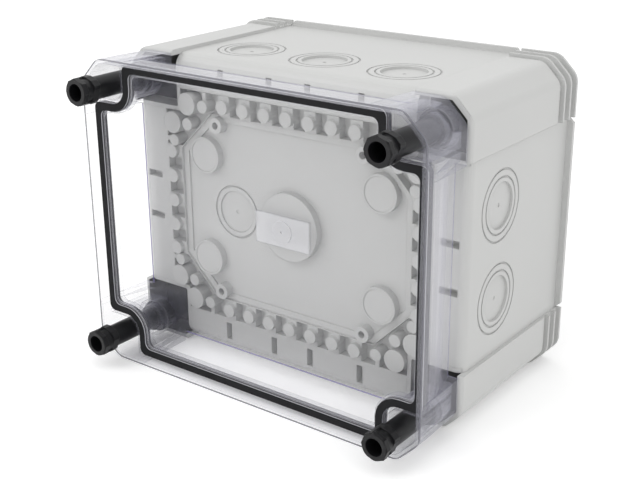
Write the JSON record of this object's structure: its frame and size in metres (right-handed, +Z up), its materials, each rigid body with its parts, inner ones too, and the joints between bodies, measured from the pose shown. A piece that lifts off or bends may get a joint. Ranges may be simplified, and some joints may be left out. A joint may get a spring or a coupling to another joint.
{
  "type": "polycarbonate enclosure with clear cover",
  "caption": "Deep grey polycarbonate enclosure on its side, its clear gasketed cover parked on the back and held by captive quarter-turn fasteners.",
  "frame": {"origin": "on the ground under the middle of the whole assembly with the cover parked on the back", "axes": "+X to the right along the long side, +Y from the cover and back towards the open front, +Z up from the long side that the box stands on"},
  "size_m": [0.2354, 0.1792, 0.1864],
  "materials": {
    "grey_polycarbonate": "light grey moulded polycarbonate, fine satin",
    "clear_polycarbonate": "clear polished polycarbonate with a faint violet tint",
    "gasket_rubber": "black foamed rubber",
    "fastener_plastic": "black moulded polyamide"
  },
  "bodies": {
    "base": {"base": "grey_polycarbonate", "back_panel": "grey_polycarbonate", "post_row_top": "grey_polycarbonate", "post_row_bottom": "grey_polycarbonate", "post_column_left": "grey_polycarbonate", "post_column_right": "grey_polycarbonate", "mounting_domes": "grey_polycarbonate", "corner_well_top_left": "grey_polycarbonate", "corner_well_top_right": "grey_polycarbonate", "corner_well_bottom_left": "grey_polycarbonate", "corner_well_bottom_right": "grey_polycarbonate"},
    "cover": {"cover": "clear_polycarbonate", "gasket": "gasket_rubber"},
    "seal_top_left": {"seal_top_left": "gasket_rubber"},
    "fastener_top_left": {"fastener_top_left": "fastener_plastic"},
    "seal_top_right": {"seal_top_right": "gasket_rubber"},
    "fastener_top_right": {"fastener_top_right": "fastener_plastic"},
    "seal_bottom_left": {"seal_bottom_left": "gasket_rubber"},
    "fastener_bottom_left": {"fastener_bottom_left": "fastener_plastic"},
    "seal_bottom_right": {"seal_bottom_right": "gasket_rubber"},
    "fastener_bottom_right": {"fastener_bottom_right": "fastener_plastic"}
  },
  "joints": [
    {"name": "cover_pull", "type": "slide", "parent": "base", "child": "cover", "axis": [0, -1, 0], "range_m": [0, 0.12]},
    {"name": "fastener_travel_top_left", "type": "slide", "parent": "cover", "child": "seal_top_left", "axis": [0, 1, 0], "range_m": [0, 0.011]},
    {"name": "quarter_turn_top_left", "type": "hinge", "parent": "seal_top_left", "child": "fastener_top_left", "pos_m": [-0.1003, -0.05085, 0.1687], "axis": [0, 1, 0], "range_deg": [0, 90]},
    {"name": "fastener_travel_top_right", "type": "slide", "parent": "cover", "child": "seal_top_right", "axis": [0, 1, 0], "range_m": [0, 0.011]},
    {"name": "quarter_turn_top_right", "type": "hinge", "parent": "seal_top_right", "child": "fastener_top_right", "pos_m": [0.1003, -0.05085, 0.1687], "axis": [0, 1, 0], "range_deg": [0, 90]},
    {"name": "fastener_travel_bottom_left", "type": "slide", "parent": "cover", "child": "seal_bottom_left", "axis": [0, 1, 0], "range_m": [0, 0.011]},
    {"name": "quarter_turn_bottom_left", "type": "hinge", "parent": "seal_bottom_left", "child": "fastener_bottom_left", "pos_m": [-0.1003, -0.05085, 0.0159], "axis": [0, 1, 0], "range_deg": [0, 90]},
    {"name": "fastener_travel_bottom_right", "type": "slide", "parent": "cover", "child": "seal_bottom_right", "axis": [0, 1, 0], "range_m": [0, 0.011]},
    {"name": "quarter_turn_bottom_right", "type": "hinge", "parent": "seal_bottom_right", "child": "fastener_bottom_right", "pos_m": [0.1003, -0.05085, 0.0159], "axis": [0, 1, 0], "range_deg": [0, 90]}
  ]
}
